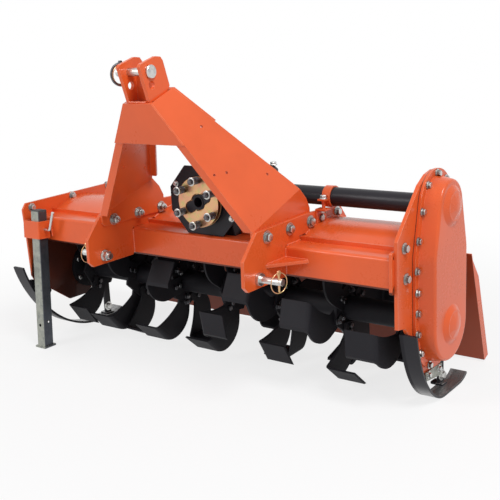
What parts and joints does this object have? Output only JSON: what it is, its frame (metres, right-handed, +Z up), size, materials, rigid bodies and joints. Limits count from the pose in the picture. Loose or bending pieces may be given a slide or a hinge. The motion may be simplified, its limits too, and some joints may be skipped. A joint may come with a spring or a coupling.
{
  "type": "tractor rotavator",
  "caption": "Three-point tractor rotavator with side gear drive, tined rotor, spring slip clutch, tail flap, skids and parking stand.",
  "frame": {"origin": "middle of the bounding box on the floor", "axes": "+X towards the gear case end, -Y towards the tractor, +Z up"},
  "size_m": [1.716, 0.9376, 1.126],
  "materials": {
    "orange_paint": "gloss enamel",
    "black_paint": "satin enamel",
    "bright_zinc": "bright zinc plate",
    "yellow_zinc": "yellow passivated zinc",
    "galvanised": "spangled galvanising",
    "black_plastic": "moulded",
    "gasket": "cut sheet",
    "friction_lining": "pressed friction lining"
  },
  "bodies": {
    "frame": {"main_beam": "orange_paint", "beam_end_flange": "orange_paint", "hood": "orange_paint", "end_plate_left": "orange_paint", "side_plate_right": "orange_paint", "case_cover": "orange_paint", "hitch_plate_left": "orange_paint", "hitch_plate_right": "orange_paint", "hitch_gussets": "orange_paint", "mast_leg_left": "orange_paint", "mast_leg_right": "orange_paint", "mast_gusset": "orange_paint", "mast_rear_plate": "orange_paint", "clevis": "orange_paint", "stand_bracket": "orange_paint", "tube_clamp": "orange_paint", "clamp_bracket": "orange_paint", "hinge_lugs": "orange_paint", "bearing_carrier": "black_paint", "gearbox": "black_paint", "gearbox_pedestal": "black_paint", "clutch_guard_plate": "black_paint", "drive_tube": "black_paint", "skid_left": "black_paint", "skid_right": "black_paint", "skid_mounts_left": "black_paint", "skid_mounts_right": "black_paint", "breather": "bright_zinc", "lower_pin_left": "bright_zinc", "lower_pin_right": "bright_zinc", "top_link_pin": "bright_zinc", "hinge_rod": "bright_zinc", "stand_lock_pin": "bright_zinc", "case_guard": "galvanised", "case_gasket": "gasket"},
    "rotor": {"rotor_shaft": "black_paint", "tines_1": "black_paint", "tines_2": "black_paint", "tines_3": "black_paint", "tines_4": "black_paint", "tines_5": "black_paint", "tines_6": "black_paint", "tines_7": "black_paint"},
    "clutch": {"input_shaft": "black_paint", "clutch_plates": "yellow_zinc", "clutch_linings": "friction_lining", "clutch_springs": "bright_zinc", "clutch_yoke": "black_paint"},
    "flap": {"tail_flap": "orange_paint"},
    "stand": {"stand_leg": "galvanised", "stand_cap": "black_plastic"}
  },
  "joints": [
    {"name": "rotor_spin", "type": "hinge", "parent": "frame", "child": "rotor", "pos_m": [0.053, 0.075, 0.258], "axis": [1, 0, 0], "continuous": true},
    {"name": "clutch_spin", "type": "hinge", "parent": "frame", "child": "clutch", "pos_m": [0.053, -0.188, 0.638], "axis": [0, 1, 0], "continuous": true},
    {"name": "flap_swing", "type": "hinge", "parent": "frame", "child": "flap", "pos_m": [0.053, 0.301, 0.45], "axis": [1, 0, 0], "range_deg": [0, 60]},
    {"name": "stand_slide", "type": "slide", "parent": "frame", "child": "stand", "axis": [0, 0.0698, 0.9976], "range_m": [0, 0.3]}
  ],
  "couplings": [
    {"joint": "clutch_spin", "follows": "rotor_spin", "ratio": 2.6}
  ]
}
